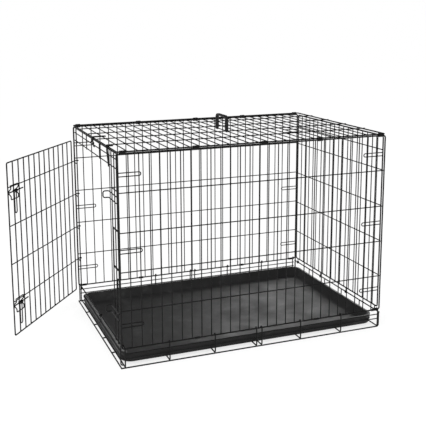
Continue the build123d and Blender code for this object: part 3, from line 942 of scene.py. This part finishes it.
@dataclass
class CarryHandle(SubAssembly):
    """Moulded bail with a ribbed grip, saddled on its two clips."""

    half_span: float = 0.050
    foot_z: float = 0.7897
    top_z: float = 0.849
    thick: float = 0.009
    width: float = 0.014
    edge_radius: float = 0.003
    edge_steps: int = 3
    leg_steps: int = 3
    outer_bend: float = 0.018
    bend_steps: int = 7
    ribs: int = 5
    rib_depth: float = 0.86
    wire_z: float = 0.787
    clip_radius: float = 0.0051
    clip_sides: int = 32
    saddle_overhang: float = 0.05
    edge_round: float = 0.0005
    sharp_degrees: float = 40.0

    def _leg_profile(self) -> bpy.types.Object:
        """Starts the handle as a rounded section at one foot.

        Returns:
            The handle in edit mode with that face selected.
        """
        foot = (0, -self.half_span, self.foot_z)
        handle = Workbench.start(
            "moulded_handle", bpy.ops.mesh.primitive_plane_add, size=1.0, location=foot
        )
        bpy.ops.transform.resize(value=(self.width, self.thick, 1), center_override=foot)
        bpy.ops.mesh.bevel(
            offset=self.edge_radius, segments=self.edge_steps, affect="VERTICES"
        )
        Workbench.pick(handle, Element.FACE, lambda face: True)
        return handle

    def _leg(self, rise: float) -> None:
        """Extrudes a leg in steps, up or down.

        Args:
            rise: the height of one step.
        """
        for _ in range(self.leg_steps):
            Workbench.extrude((0, 0, rise))

    def _bend(self, centre_y: float, centre_z: float) -> None:
        """Turns the section through a corner of the bail.

        Args:
            centre_y: the bend's centre along the bail.
            centre_z: its height.
        """
        bpy.ops.mesh.spin(
            steps=self.bend_steps,
            angle=QUARTER_TURN,
            center=(0, centre_y, centre_z),
            axis=(1, 0, 0),
            use_auto_merge=False,
        )

    def _bridge(self, from_y: float, to_y: float) -> None:
        """Extrudes the grip across in ribs and grooves.

        Args:
            from_y: where the grip starts.
            to_y: where it ends.
        """
        factors = (1.0, self.rib_depth, 1.0, 1 / self.rib_depth)
        step = (to_y - from_y) / (len(factors) * self.ribs)
        centre_z = self.top_z - self.thick / 2
        place = from_y
        for factor in factors * self.ribs:
            Workbench.extrude((0, step, 0))
            place += step
            bpy.ops.transform.resize(
                value=(factor, 1, factor), center_override=(0, place, centre_z)
            )

    def _saddle(self, handle: bpy.types.Object) -> None:
        """Hollows the feet so that they sit over the round clips.

        Args:
            handle: the closed handle in object mode.
        """
        Workbench.clear()
        bpy.ops.mesh.primitive_cylinder_add(
            vertices=self.clip_sides,
            radius=self.clip_radius,
            depth=2 * self.half_span + self.saddle_overhang,
            location=(0, 0, self.wire_z),
            rotation=(QUARTER_TURN, 0, 0),
        )
        cutter = bpy.context.object
        Workbench.modifier(
            handle, "BOOLEAN", operation="DIFFERENCE", object=cutter, solver="EXACT"
        )
        bpy.data.objects.remove(cutter)

    def build(self) -> None:
        """Models the handle."""
        handle = self._leg_profile()
        bend_z = self.top_z - self.outer_bend
        bend_y = self.half_span + self.thick / 2 - self.outer_bend
        rise = (bend_z - self.foot_z) / self.leg_steps
        self._leg(rise)
        self._bend(-bend_y, bend_z)
        self._bridge(-bend_y, bend_y)
        self._bend(bend_y, bend_z)
        self._leg(-rise)
        Workbench.close()
        self._saddle(handle)
        Workbench.soften(handle, self.edge_round, self.sharp_degrees)
        Workbench.settle(handle, Body.HANDLE, Slot.HANDLE_PLASTIC)
        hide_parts("handle_grip")
        self.pieces.append(handle)


@dataclass(frozen=True)
class Softbox:
    """A soft rectangular lamp, with its power in watts."""

    name: str
    place: Point
    aim: Point
    size: tuple[float, float]
    power: float

    def hang(self) -> bpy.types.Object:
        """Hangs the lamp, out of the camera's sight.

        Returns:
            The lamp.
        """
        data = bpy.data.lights.new(self.name, "AREA")
        data.shape = "RECTANGLE"
        data.size, data.size_y = self.size
        data.energy = self.power
        lamp = bpy.data.objects.new(self.name, data)
        bpy.context.scene.collection.objects.link(lamp)
        lamp.visible_camera = False
        lamp.location = self.place
        beam = Vector(self.aim) - Vector(self.place)
        lamp.rotation_euler = beam.to_track_quat("-Z", "Y").to_euler()
        return lamp


@dataclass
class Studio:
    """White floor, soft light and the photograph's camera."""

    image_side: int = 426
    focal_px: float = 780.5
    centre_px: tuple[float, float] = (195.0, 160.0)
    camera_at: Point = (-1.19061, -2.9004, 1.24104)
    camera_aim: Point = (-0.11692, 0.0, 0.66924)
    roll: float = math.radians(-0.4295)
    sensor: float = 36.0
    far_clip: float = 100.0
    floor_size: float = 30.0
    floor_glow: float = 0.75
    ambient: float = 1.0
    gloss: float = 0.22
    key: Softbox = Softbox("key_softbox", (-1.6, -2.2, 3.0), (0, 0, 0.3), (2.4, 1.8), 60.0)
    sheen: Softbox = Softbox("tray_softbox", (2.3, 2.9, 0.9), (0.25, 0, 0.0), (2.2, 1.4), 50.0)

    def camera(self) -> None:
        """Sets the camera where the photograph was taken from."""
        place = Vector(self.camera_at)
        forward = (Vector(self.camera_aim) - place).normalized()
        right = forward.cross(Vector((0, 0, 1))).normalized()
        up = right.cross(forward)
        turned_right = right * math.cos(self.roll) + up * math.sin(self.roll)
        turned_up = up * math.cos(self.roll) - right * math.sin(self.roll)
        turn = Matrix((turned_right, turned_up, -forward)).transposed()
        data = bpy.data.cameras.new("photo_camera")
        data.sensor_width = self.sensor
        data.lens = self.focal_px / self.image_side * self.sensor
        middle = self.image_side / 2
        data.shift_x = (middle - self.centre_px[0]) / self.image_side
        data.shift_y = (self.centre_px[1] - middle) / self.image_side
        data.clip_end = self.far_clip
        camera = bpy.data.objects.new("photo_camera", data)
        bpy.context.scene.collection.objects.link(camera)
        camera.matrix_world = Matrix.Translation(place) @ turn.to_4x4()
        bpy.context.scene.camera = camera

    def world(self) -> None:
        """White to the camera, and a plain soft light to the object."""
        world = bpy.data.worlds.new("studio")
        bpy.context.scene.world = world
        world.use_nodes = True
        tree = world.node_tree
        tree.nodes.clear()
        sheet = NodeSheet(tree)
        path = sheet.add("ShaderNodeLightPath")
        plain = sheet.add("ShaderNodeBackground", Color=grey(1.0), Strength=self.ambient)
        mirrored = sheet.add("ShaderNodeBackground", Color=grey(1.0), Strength=self.gloss)
        white = sheet.add("ShaderNodeBackground", Color=grey(1.0), Strength=1.0)
        seen = sheet.add("ShaderNodeMixShader")
        glossy = sheet.add("ShaderNodeMixShader")
        result = sheet.add("ShaderNodeOutputWorld")
        sheet.join(path.outputs["Is Glossy Ray"], glossy.inputs["Fac"])
        sheet.join(plain.outputs["Background"], glossy.inputs[MIX_SHADER_A])
        sheet.join(mirrored.outputs["Background"], glossy.inputs[MIX_SHADER_B])
        sheet.join(path.outputs["Is Camera Ray"], seen.inputs["Fac"])
        sheet.join(glossy.outputs["Shader"], seen.inputs[MIX_SHADER_A])
        sheet.join(white.outputs["Background"], seen.inputs[MIX_SHADER_B])
        sheet.join(seen.outputs["Shader"], result.inputs["Surface"])

    def floor(self) -> None:
        """A plain white floor that keeps a faint shadow."""
        Workbench.clear()
        bpy.ops.mesh.primitive_plane_add(size=self.floor_size, location=(0, 0, 0))
        floor = bpy.context.object
        floor.name = "studio_floor"
        material = bpy.data.materials.new("studio_white")
        material.use_nodes = True
        tree = material.node_tree
        tree.nodes.clear()
        sheet = NodeSheet(tree)
        path = sheet.add("ShaderNodeLightPath")
        lit = sheet.add("ShaderNodeBsdfDiffuse", Color=grey(1.0))
        glow = sheet.add("ShaderNodeEmission", Color=grey(1.0), Strength=1.0)
        share = sheet.add("ShaderNodeMath", operation="MULTIPLY")
        share.inputs[MATH_B].default_value = self.floor_glow
        blend = sheet.add("ShaderNodeMixShader")
        result = sheet.add("ShaderNodeOutputMaterial")
        sheet.join(path.outputs["Is Camera Ray"], share.inputs[MATH_A])
        sheet.join(share.outputs["Value"], blend.inputs["Fac"])
        sheet.join(lit.outputs["BSDF"], blend.inputs[MIX_SHADER_A])
        sheet.join(glow.outputs["Emission"], blend.inputs[MIX_SHADER_B])
        sheet.join(blend.outputs["Shader"], result.inputs["Surface"])
        floor.data.materials.append(material)

    def build(self, tray: bpy.types.Object) -> None:
        """Sets up the whole studio.

        Args:
            tray: the floor tray, which alone takes the low back light.
        """
        self.camera()
        self.world()
        self.floor()
        self.key.hang()
        lit_by_it = bpy.data.collections.new("lit_by_tray_softbox")
        lit_by_it.objects.link(tray)
        self.sheen.hang().light_linking.receiver_collection = lit_by_it
        bpy.context.scene.view_settings.view_transform = "Standard"


class CoatedNodes:
    """Gives every CAD node the finish of its slot."""

    def __init__(self, materials: dict[Slot, bpy.types.Material]) -> None:
        """Keeps the finishes by slot."""
        self.materials = materials

    def dress(self) -> None:
        """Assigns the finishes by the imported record."""
        slots = {row["node"]: Slot(row["material_slot"]) for row in frame["record"]["subparts"]}
        for name, node in frame["nodes"].items():
            node.data.materials.clear()
            node.data.materials.append(self.materials[slots[name]])
            LOG.info("%s: %s", name, slots[name].value)


def main() -> None:
    """Builds the dressed crate and its studio."""
    logging.basicConfig(level=logging.INFO, format="%(name)s %(message)s")
    effects = Effects()
    materials = {finish.slot: finish.build(effects) for finish in FINISHES}
    CoatedNodes(materials).dress()
    panels, tray, handle = WirePanels(), FloorTray(), CarryHandle()
    for assembly in (panels, tray, handle):
        assembly.build()
        assembly.dress(materials)
    Studio().build(tray.pieces[0])


if __name__ == "__main__":
    main()
